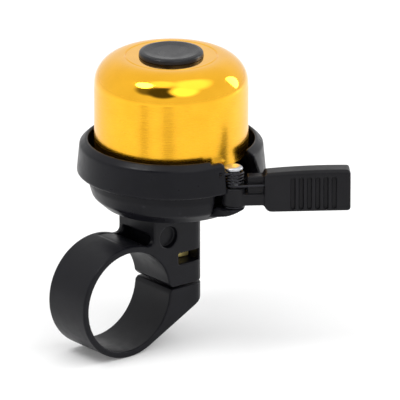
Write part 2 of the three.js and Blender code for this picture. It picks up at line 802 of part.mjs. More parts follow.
const pivotFrame = group(
  PIVOT_X,
  PIVOT_Y,
  0,
  piece('pivot_pin', pivotPin(), steel),
  piece('pivot_washer', pivotWasher(), darkSteel),
  piece('torsion_spring', torsionSpring(), darkSteel),
  group(0, 0, LEVER_ANGLE, piece('thumb_lever', thumbLever(), blackPlastic)),
  hammerFrame,
);

const flatWasher = (zMin) =>
  ring(SCREW_HOLE_RADIUS, WASHER_RADIUS, zMin, zMin + WASHER_HEIGHT);

const domeWasherZ = DIMPLE_FLOOR_Z + CONTACT_GAP;
const clampWasherZ = CLAMP_HEAD_SEAT_Z - CONTACT_GAP - WASHER_HEIGHT;
const bellFrame = group(
  BELL_AXIS_X,
  0,
  0,
  piece('dome', dome(), goldAnodised),
  piece('top_cap', topCap(), blackPlastic),
  piece('centre_screw', panScrew(CENTRE_SEAT_Z, 1, CENTRE_SCREW_LENGTH, 2.75, 1.2), steel),
  piece('spring_washer', springWasher(domeWasherZ + WASHER_HEIGHT + CONTACT_GAP), darkSteel),
  piece('dome_washer', flatWasher(domeWasherZ), steel),
  piece('dome_bush', domeBush(), nylon),
  piece('centre_sleeve', ring(1.9, 3, SLEEVE_BOTTOM_Z, BUSH_BOTTOM_Z - CONTACT_GAP), aluminium),
  piece('base_saucer', baseSaucer(), blackPlastic),
  piece('base_nut', squareNut(BASE_NUT_SLOT.top - 0.1 - NUT_HEIGHT), steel),
  piece('clamp_nut', squareNut(CLAMP_NUT_SLOT.bottom + 0.1), brass),
  piece('clamp_washer', flatWasher(clampWasherZ), steel),
  piece('clamp_screw', panScrew(clampWasherZ - CONTACT_GAP, -1, CLAMP_SCREW_LENGTH, 2.8, 2), steel),
  pivotFrame,
);

const bell = new THREE.Group();
bell.add(piece('clamp_bracket', clampBracket(), blackPlastic), bellFrame);

export default bell;
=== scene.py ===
"""Looks of a mini bicycle bell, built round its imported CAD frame.

Lengths in this script are millimetres until a mesh is made. Turned pieces are lathed round
their own axis. Moulded pieces are described by signed distances (negative inside) and meshed
from them, so that every moulded edge has a real fillet. Each piece stands for one CAD node.
"""

import json
import math

import bpy
import numpy as np
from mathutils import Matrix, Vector

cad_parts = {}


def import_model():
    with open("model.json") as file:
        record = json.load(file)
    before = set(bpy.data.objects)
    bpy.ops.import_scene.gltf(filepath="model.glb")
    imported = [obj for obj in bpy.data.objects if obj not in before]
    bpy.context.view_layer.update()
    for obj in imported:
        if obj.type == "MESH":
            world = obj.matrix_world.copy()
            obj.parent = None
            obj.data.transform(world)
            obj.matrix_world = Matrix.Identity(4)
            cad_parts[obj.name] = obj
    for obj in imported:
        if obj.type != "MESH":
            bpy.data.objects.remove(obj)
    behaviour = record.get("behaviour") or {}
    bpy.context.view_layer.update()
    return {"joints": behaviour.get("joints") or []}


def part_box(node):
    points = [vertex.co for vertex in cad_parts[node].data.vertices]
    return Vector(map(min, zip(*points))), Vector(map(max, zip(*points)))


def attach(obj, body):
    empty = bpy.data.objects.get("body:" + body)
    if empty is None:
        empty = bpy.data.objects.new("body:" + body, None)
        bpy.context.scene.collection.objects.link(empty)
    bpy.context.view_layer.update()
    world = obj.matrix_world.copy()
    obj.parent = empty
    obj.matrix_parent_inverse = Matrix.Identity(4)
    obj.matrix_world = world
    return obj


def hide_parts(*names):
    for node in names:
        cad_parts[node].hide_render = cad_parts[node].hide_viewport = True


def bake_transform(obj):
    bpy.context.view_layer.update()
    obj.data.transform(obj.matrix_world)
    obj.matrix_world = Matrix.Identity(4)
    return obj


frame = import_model()

MM = 0.001


def cad(node):
    """Lowest and highest corner of a CAD node, in millimetres."""
    low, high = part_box(node)
    return np.array(low) / MM, np.array(high) / MM


def joint_place(name):
    """Where a joint's axis stands, in millimetres."""
    joint = next(j for j in frame["joints"] if j["name"] == name)
    return np.array(joint["pos_m"]) / MM


# ---- Places, from the frame ---------------------------------------------------------------------

BRACKET_LOW, BRACKET_HIGH = cad("clamp_bracket")
SAUCER_LOW, SAUCER_HIGH = cad("base_saucer")
DOME_LOW, DOME_HIGH = cad("dome")
PIN_LOW, PIN_HIGH = cad("pivot_pin")
HEAD_LOW, HEAD_HIGH = cad("hammer_head")
LEVER_TOP_Z = cad("thumb_lever")[1][2]

BELL = (DOME_LOW + DOME_HIGH) / 2  # the bell's axis
BELL_X = BELL[0]
PIVOT = (PIN_LOW + PIN_HIGH) / 2
RIVET = joint_place("hammer_flex")
HAMMER = (HEAD_LOW + HEAD_HIGH) / 2

GAP = 0.05  # between faces that rest on each other
SCREW_RADIUS = 1.5
SCREW_HOLE = 1.8


# ---- Outlines -----------------------------------------------------------------------------------


def outline(corners, steps=5):
    """Points of a closed outline through corners (u, v) or (u, v, radius), with true arcs."""
    points = []
    for i, (u, v, *radius) in enumerate(corners):
        here = np.array([u, v], float)
        if not radius:
            points.append(here)
            continue
        before = np.array(corners[i - 1][:2], float) - here
        after = np.array(corners[(i + 1) % len(corners)][:2], float) - here
        before /= np.linalg.norm(before)
        after /= np.linalg.norm(after)
        half = math.acos(np.clip(before @ after, -1, 1)) / 2
        middle = (before + after) / np.linalg.norm(before + after)
        centre = here + middle * radius[0] / math.sin(half)
        start = here + before * radius[0] / math.tan(half) - centre
        end = here + after * radius[0] / math.tan(half) - centre
        turn = math.atan2(start[0] * end[1] - start[1] * end[0], start @ end)
        for k in range(steps + 1):
            c, s = math.cos(turn * k / steps), math.sin(turn * k / steps)
            points.append(centre + [c * start[0] - s * start[1], s * start[0] + c * start[1]])
    return np.array(points)


def box_outline(u_min, u_max, v_min, v_max, radius):
    return outline([
        (u_min, v_min, radius),
        (u_max, v_min, radius),
        (u_max, v_max, radius),
        (u_min, v_max, radius),
    ])


# ---- Signed distances ---------------------------------------------------------------------------


def polygon(points):
    """Signed distance to a closed outline in a plane."""

    def distance(u, v):
        u, v = np.broadcast_arrays(u, v)
        nearest = np.full(u.shape, np.inf)
        inside = np.zeros(u.shape, bool)
        for a, b in zip(points, np.roll(points, -1, axis=0)):
            edge = b - a
            du, dv = u - a[0], v - a[1]
            t = np.clip((du * edge[0] + dv * edge[1]) / (edge @ edge), 0, 1)
            nearest = np.minimum(nearest, (du - t * edge[0]) ** 2 + (dv - t * edge[1]) ** 2)
            spans = (a[1] <= v) != (b[1] <= v)
            inside ^= spans & ((du * edge[1] - dv * edge[0]) * np.sign(edge[1]) < 0)
        return np.where(inside, -1, 1) * np.sqrt(nearest)

    return distance


def between(value, low, high):
    return np.abs(value - (low + high) / 2) - (high - low) / 2


def disc(u, v, radius, centre=(0, 0)):
    return np.hypot(u - centre[0], v - centre[1]) - radius


def common(a, b, fillet=0.0):
    """What lies in both, with the edge between them rounded."""
    if fillet == 0:
        return np.maximum(a, b)
    corner = np.hypot(np.maximum(a + fillet, 0), np.maximum(b + fillet, 0))
    return np.minimum(np.maximum(a, b), -fillet) + corner


def joined(a, b, fillet=0.0):
    """Both together, with a fillet in the corner between them."""
    return -common(-a, -b, fillet)


def without(a, b, fillet=0.0):
    return common(a, -b, fillet)


def turned_frame(x, y, angle):
    """Coordinates along and across a direction in plan."""
    c, s = math.cos(angle), math.sin(angle)
    return x * c + y * s, y * c - x * s


# ---- Meshes -------------------------------------------------------------------------------------


def add_mesh(name, points, faces, place=(0, 0, 0), sharp_angle=None):
    """A smooth mesh object from points in millimetres round a place in the row frame."""
    mesh = bpy.data.meshes.new(name)
    mesh.from_pydata((np.asarray(points) * MM).tolist(), [], faces)
    mesh.shade_smooth()
    if sharp_angle:
        mesh.set_sharp_from_angle(angle=sharp_angle)
    piece = bpy.data.objects.new(name, mesh)
    piece.location = Vector(place) * MM
    bpy.context.scene.collection.objects.link(piece)
    return piece


def crossings(values, axis):
    """Grid edges along an axis that cross the surface: their start, where, and which way."""
    span = values.shape[axis]
    start = np.take(values, range(span - 1), axis)
    end = np.take(values, range(1, span), axis)
    at = np.argwhere((start < 0) != (end < 0))
    first = start[tuple(at.T)]
    last = end[tuple(at.T)]
    return at, first / (first - last), first < 0


def surface_net(values):
    """Quads round the zero surface of a grid of distances, in grid units."""
    shape = np.array(values.shape) - 1
    total = np.zeros((shape.prod(), 3))
    count = np.zeros(shape.prod())
    rings = []
    for axis in range(3):
        at, where, leaving = crossings(values, axis)
        point = at.astype(float)
        point[:, axis] += where
        b, c = (axis + 1) % 3, (axis + 2) % 3
        cells = []
        for db, dc in ((1, 1), (0, 1), (0, 0), (1, 0)):
            cell = at.copy()
            cell[:, b] -= db
            cell[:, c] -= dc
            flat = np.ravel_multi_index(cell.T, shape)
            cells.append(flat)
            count += np.bincount(flat, minlength=len(count))
            for k in range(3):
                total[:, k] += np.bincount(flat, weights=point[:, k], minlength=len(count))
        ring = np.stack(cells, axis=1)
        ring[~leaving] = ring[~leaving][:, ::-1]
        rings.append(ring)
    used = np.flatnonzero(count)
    number = np.full(len(count), -1)
    number[used] = np.arange(len(used))
    return total[used] / count[used, None], number[np.concatenate(rings)]


def slope(shape, points, reach):
    """Gradient of a distance at points, by central differences."""
    result = np.empty_like(points)
    for k in range(3):
        step = np.zeros(3)
        step[k] = reach
        result[:, k] = (shape(*(points + step).T) - shape(*(points - step).T)) / (2 * reach)
    return result


def onto(shape, points, cell):
    """Points moved onto the surface along its gradient."""
    away = slope(shape, points, cell * 0.05)
    size = np.maximum((away**2).sum(1), 0.2)
    move = -shape(*points.T)[:, None] * away / size[:, None]
    length = np.linalg.norm(move, axis=1, keepdims=True)
    return points + move * np.minimum(1, cell / np.maximum(length, 1e-9))


def relaxed(points, quads, share):
    """Points moved part of the way to the mean of their neighbours, to even out the mesh."""
    total = np.zeros_like(points)
    count = np.zeros(len(points))
    for a, b in ((0, 1), (1, 2), (2, 3), (3, 0)):
        for one, other in ((quads[:, a], quads[:, b]), (quads[:, b], quads[:, a])):
            count += np.bincount(one, minlength=len(points))
            for k in range(3):
                total[:, k] += np.bincount(one, points[other, k], minlength=len(points))
    return points + share * (total / count[:, None] - points)


def moulded(name, shape, low, high, cell):
    """A mesh of a signed distance, with quads about one cell wide that lie on the surface."""
    axes = [np.arange(a - 1.5 * cell, b + 2.5 * cell, cell) for a, b in zip(low, high)]
    x, y, z = np.meshgrid(*axes, indexing="ij", sparse=True)
    size = [len(axis) for axis in axes]
    points, quads = surface_net(np.broadcast_to(shape(x, y, z), size))
    points = points * cell + [axis[0] for axis in axes]
    points = onto(shape, onto(shape, points, cell), cell)
    for _ in range(2):
        points = onto(shape, relaxed(points, quads, 0.5), cell)
    return add_mesh(name, points, quads.tolist())


def lathed(name, corners, place, segments=96, steps=5):
    """A profile of (radius, z) corners turned round an upright axis through a place."""
    profile = outline(corners, steps)
    angles = np.arange(segments) * 2 * math.pi / segments
    ring = np.stack([np.cos(angles), np.sin(angles)], axis=1)
    points, rows = [], []
    for radius, z in profile:
        if radius < 1e-9:
            rows.append([len(points)] * segments)
            points.append([0, 0, z])
        else:
            rows.append(list(range(len(points), len(points) + segments)))
            points.extend([radius * c, radius * s, z] for c, s in ring)
    faces = []
    for below, above in zip(rows, rows[1:] + rows[:1]):
        for i in range(segments):
            j = (i + 1) % segments
            corner = list(dict.fromkeys((below[i], below[j], above[j], above[i])))
            if len(corner) > 2:
                faces.append(corner)
    piece = add_mesh(name, points, faces, (place[0], place[1], 0))
    piece.modifiers.new("weighted normals", "WEIGHTED_NORMAL").keep_sharp = True
    return piece


def tube(name, centres, radius, sides=14):
    """A round wire along points, with its ends closed."""
    centres = np.asarray(centres, float)
    along = np.gradient(centres, axis=0)
    along /= np.linalg.norm(along, axis=1, keepdims=True)
    across = np.cross(along[0], [0, 0, 1])
    across /= np.linalg.norm(across)
    angles = np.arange(sides) * 2 * math.pi / sides
    points = []
    for centre, forward in zip(centres, along):
        across = across - forward * (across @ forward)
        across /= np.linalg.norm(across)
        upward = np.cross(forward, across)
        points.extend(centre + radius * (math.cos(a) * across + math.sin(a) * upward) for a in angles)
    faces = []
    for row in range(len(centres) - 1):
        for i in range(sides):
            j = (i + 1) % sides
            here, there = row * sides, (row + 1) * sides
            faces.append([here + i, here + j, there + j, there + i])
    faces.append(list(range(sides))[::-1])
    faces.append([(len(centres) - 1) * sides + i for i in range(sides)])
    return add_mesh(name, points, faces)


def install(piece, node, body, slot):
    """The piece stands for a CAD node, rides on its body and takes its material."""
    piece.data.materials.append(looks[slot])
    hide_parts(node)
    if body:
        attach(piece, body)
    return piece


# ---- Materials ----------------------------------------------------------------------------------


class Look:
    """A node material under construction, with short ways to add what its looks need."""

    def __init__(self, name, metallic=0.0):
        self.material = bpy.data.materials.new(name)
        self.material.use_nodes = True
        self.tree = self.material.node_tree
        self.shader = self.tree.nodes["Principled BSDF"]
        self.shader.inputs["Metallic"].default_value = metallic
        self.place = self.node("ShaderNodeTexCoord").outputs["Object"]
        self.normal = None

    def node(self, kind, **inputs):
        made = self.tree.nodes.new(kind)
        for key, value in inputs.items():
            self.feed(made.inputs[key.replace("_", " ")], value)
        return made

    def feed(self, socket, value):
        if isinstance(value, bpy.types.NodeSocket):
            self.tree.links.new(value, socket)
        else:
            socket.default_value = value

    def noise(self, size, detail=3.0, roughness=0.5, where=None):
        """Noise with features of a size in millimetres."""
        made = self.node("ShaderNodeTexNoise", Vector=where or self.place)
        made.inputs["Scale"].default_value = 1 / (size * MM)
        made.inputs["Detail"].default_value = detail
        made.inputs["Roughness"].default_value = roughness
        return made.outputs["Fac"]

    def range(self, value, low, high, to_low=0.0, to_high=1.0):
        made = self.node("ShaderNodeMapRange", Value=value)
        limits = {"From Min": low, "From Max": high, "To Min": to_low, "To Max": to_high}
        for key, number in limits.items():
            made.inputs[key].default_value = number
        return made.outputs["Result"]

    def mix(self, share, a, b):
        made = self.tree.nodes.new("ShaderNodeMix")
        made.data_type = "RGBA"
        self.feed(made.inputs["Factor"], share)
        self.feed(made.inputs["A"], a)
        self.feed(made.inputs["B"], b)
        return made.outputs["Result"]

    def math(self, operation, a, b=0.0):
        made = self.tree.nodes.new("ShaderNodeMath")
        made.operation = operation
        self.feed(made.inputs[0], a)
        self.feed(made.inputs[1], b)
        return made.outputs[0]

    def bump(self, height, depth, strength=1.0):
        """Height from 0 to 1 as a relief of a depth in millimetres, on top of earlier relief."""
        made = self.node("ShaderNodeBump", Height=height)
        made.inputs["Distance"].default_value = depth * MM
        made.inputs["Strength"].default_value = strength
        if self.normal:
            self.tree.links.new(self.normal, made.inputs["Normal"])
        self.normal = made.outputs["Normal"]

    def round_the_axis(self, fine, long):
        """Coordinates that are fine across a turned surface and long round it."""
        split = self.node("ShaderNodeSeparateXYZ", Vector=self.place)
        x, y, z = split.outputs
        squares = self.math("ADD", self.math("MULTIPLY", x, x), self.math("MULTIPLY", y, y))
        radius = self.math("SQRT", squares)
        angle = self.math("ARCTAN2", y, x)
        made = self.node("ShaderNodeCombineXYZ")
        self.feed(made.inputs[0], self.math("MULTIPLY", radius, 1 / (fine * MM)))
        self.feed(made.inputs[1], self.math("MULTIPLY", z, 1 / (fine * MM)))
        self.feed(made.inputs[2], self.math("MULTIPLY", angle, long))
        return made.outputs[0]

    def edges(self, low, high):
        """1 along convex edges and 0 on flat faces."""
        return self.range(self.node("ShaderNodeNewGeometry").outputs["Pointiness"], low, high)

    def done(self, colour, roughness):
        self.feed(self.shader.inputs["Base Color"], colour)
        self.feed(self.shader.inputs["Roughness"], roughness)
        if self.normal:
            self.feed(self.shader.inputs["Normal"], self.normal)
        return self.material


def moulded_plastic(name, colour, roughness, specular=0.35, grain=0.006):
    """Satin moulded plastic: fine spark-eroded grain, faint flow marks, rubbed edges."""
    look = Look(name)
    look.shader.inputs["Specular IOR Level"].default_value = specular
    dark = (*[c * 0.86 for c in colour], 1)
    light = (*[c * 1.16 for c in colour], 1)
    rubbed = (*[min(1, c * 2.1 + 0.006) for c in colour], 1)
    flow = look.range(look.noise(5.5, 2.0), 0.3, 0.7)
    wear = look.math("MULTIPLY", look.edges(0.52, 0.6), look.range(look.noise(1.3), 0.42, 0.66))
    look.bump(look.noise(0.16, 4.0, 0.6), grain, 0.5)
    look.bump(look.noise(3.2, 2.0), 0.02, 0.25)
    rough = look.range(look.noise(1.9, 4.0), 0.3, 0.7, roughness - 0.05, roughness + 0.06)
    return look.done(look.mix(wear, look.mix(flow, dark, light), rubbed), rough)


def turned_metal(name, colour, roughness, fine=0.05, depth=0.0012, spread=0.5, edge=1.25):
    """Machined or drawn metal with fine lines round its axis, and a painted highlight that makes its
    convex edges lighter.
    """
    look = Look(name, metallic=1.0)
    look.shader.inputs["Anisotropic"].default_value = spread
    tangent = look.node("ShaderNodeTangent")
    tangent.direction_type = "RADIAL"
    tangent.axis = "Z"
    look.feed(look.shader.inputs["Tangent"], tangent.outputs["Tangent"])
    lines = look.noise(1000, 2.0, 0.5, look.round_the_axis(fine, 1.5))
    tone = look.range(look.noise(2.4), 0.3, 0.7)
    shade = look.mix(tone, (*[c * 0.9 for c in colour], 1), (*colour, 1))
    # Painted highlight: the colour is made lighter along convex edges, by the factor in edge, so rims
    # look lit.
    bright = (*[min(1, c * edge) for c in colour], 1)
    look.bump(lines, depth, 0.6)
    rough = look.range(look.noise(1.1, 4.0), 0.3, 0.7, roughness - 0.04, roughness + 0.06)
    return look.done(look.mix(look.edges(0.53, 0.62), shade, bright), rough)


GOLD = (0.95, 0.485, 0.025)
POLISHED_EDGE_Z = DOME_HIGH[2] - 6.2  # the side is satin below this and polished above


def gold_dome():
    """Gold anodised aluminium: a satin turned side below a polished shoulder and top."""
    look = Look("gold_anodised", metallic=1.0)
    look.shader.inputs["Anisotropic"].default_value = 0.35
    look.shader.inputs["Coat Weight"].default_value = 0.15
    look.shader.inputs["Coat Roughness"].default_value = 0.08
    tangent = look.node("ShaderNodeTangent")
    tangent.direction_type = "RADIAL"
    tangent.axis = "Z"
    look.feed(look.shader.inputs["Tangent"], tangent.outputs["Tangent"])
    height = look.node("ShaderNodeSeparateXYZ", Vector=look.place).outputs["Z"]
    polished = look.range(height, (POLISHED_EDGE_Z - 0.2) * MM, (POLISHED_EDGE_Z + 0.3) * MM)
    lines = look.noise(1000, 3.0, 0.6, look.round_the_axis(0.09, 2.2))
    tone = look.range(look.noise(4.5, 3.0), 0.3, 0.7)
    deep = (GOLD[0] * 0.94, GOLD[1] * 0.92, GOLD[2] * 0.8, 1)
    colour = look.mix(tone, deep, (*GOLD, 1))
    satin = look.range(lines, 0.3, 0.7, 0.2, 0.3)
    bright = look.range(look.noise(2.0, 4.0), 0.3, 0.7, 0.05, 0.1)
    rough = look.node("ShaderNodeMix")
    look.feed(rough.inputs["Factor"], polished)
    look.feed(rough.inputs["A"], satin)
    look.feed(rough.inputs["B"], bright)
    look.bump(look.math("MULTIPLY", lines, look.math("SUBTRACT", 1.0, polished)), 0.0016, 0.5)
    look.bump(look.noise(7.0, 1.0), 0.02, 0.12)
    return look.done(colour, rough.outputs["Result"])


def natural_nylon():
    look = Look("natural_nylon")
    look.shader.inputs["Subsurface Weight"].default_value = 0.15
    look.shader.inputs["Subsurface Scale"].default_value = 0.6 * MM
    tone = look.range(look.noise(2.0), 0.3, 0.7)
    look.bump(look.noise(0.2, 3.0), 0.004, 0.4)
    rough = look.range(look.noise(0.8), 0.3, 0.7, 0.42, 0.56)
    return look.done(look.mix(tone, (0.62, 0.59, 0.5, 1), (0.74, 0.71, 0.63, 1)), rough)


BLACK = (0.0048, 0.0048, 0.0068)
looks = {
    "gold_dome": gold_dome(),
    "bracket_plastic": moulded_plastic("bracket_plastic", BLACK, 0.36, 0.15),
    "saucer_plastic": moulded_plastic("saucer_plastic", BLACK, 0.32, 0.15),
    "lever_plastic": moulded_plastic("lever_plastic", (0.0072, 0.007, 0.0085), 0.36, 0.15),
    "cap_plastic": moulded_plastic("cap_plastic", (0.0075, 0.0075, 0.0095), 0.3, 0.25),
    "steel": turned_metal("zinc_plated_steel", (0.5, 0.51, 0.53), 0.32),
    # Dark steel. On the spring its darkness is partly painted shade, for the shade the coil sits in
    # inside the cut-out.
    "dark_steel": turned_metal("dark_steel", (0.03, 0.03, 0.034), 0.34, spread=0.0),
    "spring_steel": turned_metal("spring_steel", (0.66, 0.67, 0.68), 0.2, spread=0.0),
    "brass_nut": turned_metal("passivated_nut", (0.95, 0.78, 0.3), 0.42, spread=0.0),
    "brass": turned_metal("turned_brass", (0.8, 0.55, 0.2), 0.24),
    "nylon": natural_nylon(),
    "aluminium": turned_metal("aluminium_tube", (0.75, 0.76, 0.78), 0.34),
}


# ---- Clamp bracket ------------------------------------------------------------------------------

BAND_RADIUS = -BRACKET_LOW[0]
BAND_THICKNESS = 1.4
BORE_RADIUS = BAND_RADIUS - BAND_THICKNESS
HALF_WIDTH = BRACKET_HIGH[1]
PILLAR_OUTER_X = BRACKET_HIGH[0]
PILLAR_DEPTH = 14
PILLAR_INNER_X = PILLAR_OUTER_X - PILLAR_DEPTH
PILLAR_CORNER = 2.6
PILLAR_TOP_Z = SAUCER_LOW[2] - GAP
KEY_TOP_Z = BRACKET_HIGH[2]
LUG_CORNER = (PILLAR_OUTER_X, -3.4)
SPLIT = (0.15, 0.75)  # lower and upper face of the split
KEY_HALF = 4.5
NUT_SLOTS = ((5.5, 8.1, -1), (13.8, 16.2, 1))  # bottom, top, and the side it opens to along Y
NUT_SLOT_HALF = 2.9
RECESS = (10.7, 12.5)
RECESS_RADIUS = 2.4
RECESS_DEPTH = 1.2
CLAMP_HOLE_TOP_Z = 9.4
CENTRE_HOLE_BOTTOM_Z = 11.3
HEAD_BORE_RADIUS = 3.75
EDGE = 0.35  # fillet on the bracket's outer edges
CLAMP_SEAT_Z = cad("clamp_washer")[1][2] + GAP


def bracket_side(x, z):
    """The bracket seen along the handlebar, before the bore and the split."""
    reach = math.hypot(*LUG_CORNER)
    angle = math.atan2(LUG_CORNER[1], LUG_CORNER[0]) - math.acos(BAND_RADIUS / reach)
    tangent = (BAND_RADIUS * math.cos(angle), BAND_RADIUS * math.sin(angle))
    foot_x = 5.0
    foot_z = math.sqrt(BAND_RADIUS**2 - foot_x**2)
    pillar = polygon(outline([
        (PILLAR_INNER_X, PILLAR_TOP_Z, 0.3),
        (PILLAR_INNER_X, foot_z, 1.1),
        (foot_x - 0.6, foot_z + 0.15),
        (0, 4),
        tangent,
        (*LUG_CORNER, 0.5),
        (PILLAR_OUTER_X, PILLAR_TOP_Z, 0.3),
    ]))
    return np.minimum(disc(x, z, BAND_RADIUS), pillar(x, z))


def bracket_shape(x, y, z):
    rounded_end = polygon(outline([
        (-BAND_RADIUS - 3, -HALF_WIDTH),
        (PILLAR_OUTER_X, -HALF_WIDTH, PILLAR_CORNER),
        (PILLAR_OUTER_X, HALF_WIDTH, PILLAR_CORNER),
        (-BAND_RADIUS - 3, HALF_WIDTH),
    ]))
    shape = common(bracket_side(x, z), rounded_end(x, y), EDGE)
    shape = without(shape, disc(x, z, BORE_RADIUS), 0.25)
    lip = BORE_RADIUS + 0.7
    split = polygon(np.array([
        (PILLAR_OUTER_X + 3, SPLIT[0]),
        (lip, SPLIT[0]),
        (lip - 2, SPLIT[0] - 2),
        (lip - 2, SPLIT[1] + 2),
        (lip, SPLIT[1]),
        (PILLAR_OUTER_X + 3, SPLIT[1]),
    ]))
    shape = without(shape, split(x, z), 0.15)

    # The square key on top, which stops the saucer turning.
    key = common(
        polygon(box_outline(BELL_X - KEY_HALF, PILLAR_OUTER_X - 0.4, -KEY_HALF, KEY_HALF, 0.5))(x, y),
        between(z, PILLAR_TOP_Z - 1, KEY_TOP_Z),
        0.2,
    )
    shape = joined(shape, key)

    # The pocket cored into the pillar's inner face; the band runs on as its floor.
    pocket = common(
        polygon(box_outline(0, PILLAR_INNER_X + 2.5, 8, 13.2, 0.5))(x, z),
        between(y, -4.7, 4.7),
        0.4,
    )
    pocket = without(pocket, disc(x, z, BAND_RADIUS))
    shape = without(shape, pocket, 0.45)

    # Nut slots: the clamp nut's opens to the front and the base nut's to the back.
    slot_sides = (BELL_X - NUT_SLOT_HALF, BELL_X + NUT_SLOT_HALF)
    for bottom, top, side in NUT_SLOTS:
        slot = common(
            polygon(box_outline(*slot_sides, bottom, top, 0.2))(x, z),
            between(side * y, -NUT_SLOT_HALF, HALF_WIDTH + 2),
            0.2,
        )
        shape = without(shape, slot, 0.2)

    # A round ejector recess in the front face.
    recess_floor = RECESS_DEPTH - HALF_WIDTH
    recess = common(disc(x, z, RECESS_RADIUS, RECESS), between(y, -HALF_WIDTH - 2, recess_floor), 0.3)
    shape = without(shape, recess, 0.2)

    axis = np.hypot(x - BELL_X, y)
    clamp_hole = common(axis - SCREW_HOLE, between(z, CLAMP_SEAT_Z - 1, CLAMP_HOLE_TOP_Z))
    head_bore = common(axis - HEAD_BORE_RADIUS, between(z, -20, CLAMP_SEAT_Z))
    centre_hole = common(axis - SCREW_HOLE, between(z, CENTRE_HOLE_BOTTOM_Z, KEY_TOP_Z + 2))
    shape = without(shape, clamp_hole, 0.12)
    shape = without(shape, head_bore, 0.2)
    return without(shape, centre_hole, 0.12)


# ---- Base saucer --------------------------------------------------------------------------------

SAUCER_RADIUS = SAUCER_HIGH[0] - BELL_X
RIM_Z = SAUCER_HIGH[2]
FOOT_Z = SAUCER_LOW[2]
BAND_Z = 25.1  # underside of the thick upper band
FLOOR_Z = FOOT_Z + 1.6
BOSS_TOP_Z = FLOOR_Z + 0.7
TONGUE_TOP_Z = 21.7
CUTOUT_ANGLE = math.radians(-80)
PIVOT_LOCAL = (PIVOT[0] - BELL_X, PIVOT[1])
HAMMER_ANGLE = math.atan2(RIVET[1] - PIVOT[1], RIVET[0] - PIVOT[0])
TAIL_HALF = 1.4
STOP_RADIUS = 0.8
SPRING_TOP_Z = 29.6
SPRING_ANCHOR = (-4.35, 18.5)  # along and out from the axis, in the cut-out's left end


def saucer_section(radius, z):
    """The saucer's half section."""
    section = polygon(outline([
        (SCREW_HOLE, FOOT_Z),
        (14.8, FOOT_Z, 0.3),
        (17.1, 20.1, 1.5),
        (17.9, 22.8, 1.0),
        (17.9, BAND_Z, 0.25),
        (SAUCER_RADIUS, BAND_Z, 0.35),
        (SAUCER_RADIUS - 0.6, RIM_Z - 1.6, 0.9),
        (18, RIM_Z, 0.35),
        (17.6, 26.7, 0.6),
        (16.3, 25.2, 0.6),
        (16.3, 22.8, 1.0),
        (13.6, FLOOR_Z, 0.6),
        (4.4, FLOOR_Z, 0.25),
        (4.2, BOSS_TOP_Z, 0.2),
        (SCREW_HOLE, BOSS_TOP_Z),
    ], steps=3))
    return section(radius, z)


def tongue_shape(x, y, z):
    """The tongue below the lever: flat on top, rising underneath towards its tip."""
    plan = polygon(outline([
        (-2.4, -12.8),
        (-1.3, -22.1, 2.6),
        (4.5, -22.1, 2.6),
        (7.5, -17, 1),
        (7.5, -12.2),
    ]))(x, y)
    rise = 0.35
    rise_angle = math.radians(-46)
    run, _ = turned_frame(x, y, rise_angle)
    foot_run, _ = turned_frame(-2.2, -14.8, rise_angle)
    underside = (FOOT_Z + 0.5 + rise * (run - foot_run) - z) / math.hypot(1, rise)
    shape = common(common(plan, z - TONGUE_TOP_Z, 0.3), underside, 0.4)
    outward, _ = turned_frame(x, y, CUTOUT_ANGLE)
    ramp = (outward - 17) * 0.628 + (z - TONGUE_TOP_Z) * -0.778
    return without(shape, common(common(ramp, FLOOR_Z - z), outward - 17))


def saucer_shape(x, y, z):
    x = x - BELL_X
    shape = saucer_section(np.hypot(x, y), z)
    outward, across = turned_frame(x, y, CUTOUT_ANGLE)
    sector = between(outward, 12, SAUCER_RADIUS + 8)
    slot_left, slot_right = -5.1, 5.4
    gap = polygon(outline([
        (slot_left, FLOOR_Z, 0.4),
        (slot_right, FLOOR_Z, 0.4),
        (slot_right, BAND_Z - 0.05, 0.3),
        (slot_right + 2.8, BAND_Z, 0.3),
        (slot_right - 2.6, RIM_Z + 2),
        (SPRING_ANCHOR[0], RIM_Z + 2),
        (SPRING_ANCHOR[0], BAND_Z, 0.2),
        (slot_left, BAND_Z, 0.2),
    ]))(across, z)
    shape = without(shape, common(gap, sector), 0.3)
    step = common(between(across, -6.8, 0), RIM_Z - 1 - z)
    shape = without(shape, common(step, sector), 0.25)
    shape = joined(shape, tongue_shape(x, y, z), 0.3)

    # The post that the lever's tail rests against.
    side = TAIL_HALF + 0.15 + STOP_RADIUS
    stop = (
        PIVOT_LOCAL[0] + 4.9 * math.cos(HAMMER_ANGLE) + side * math.sin(HAMMER_ANGLE),
        PIVOT_LOCAL[1] + 4.9 * math.sin(HAMMER_ANGLE) - side * math.cos(HAMMER_ANGLE),
    )
    post = common(disc(x, y, STOP_RADIUS, stop), between(z, TONGUE_TOP_Z - 1, 24.4), 0.2)
    shape = joined(shape, post, 0.25)

    key_half = KEY_HALF + 0.25
    key = polygon(box_outline(-key_half, PILLAR_OUTER_X - BELL_X - 0.15, -key_half, key_half, 0.5))
    shape = without(shape, common(key(x, y), between(z, FOOT_Z - 2, KEY_TOP_Z + 0.1)), 0.15)
    anchor = np.hypot(outward - SPRING_ANCHOR[1], z - SPRING_TOP_Z) - 0.55
    shape = without(shape, common(anchor, between(across, SPRING_ANCHOR[0] - 1.4, SPRING_ANCHOR[0] + 1)))
    return without(shape, common(disc(x, y, 1.3, PIVOT_LOCAL), between(z, 12, 25)))


# ---- Thumb lever --------------------------------------------------------------------------------

LEVER_ANGLE = math.radians(-35)
HUB = (22.2, 26.2)
ARM_TOP_Z = 24.8
WEB_TOP_Z = 28.6
PAD_START = 6.5
PAD_END = 25.0
PAD_HALF = 2.3
PAD_BOTTOM_Z = 20.9
TAIL = (22.4, cad("hammer_arm")[0][2] - GAP)
SPRING_LEG_Z = 26.8


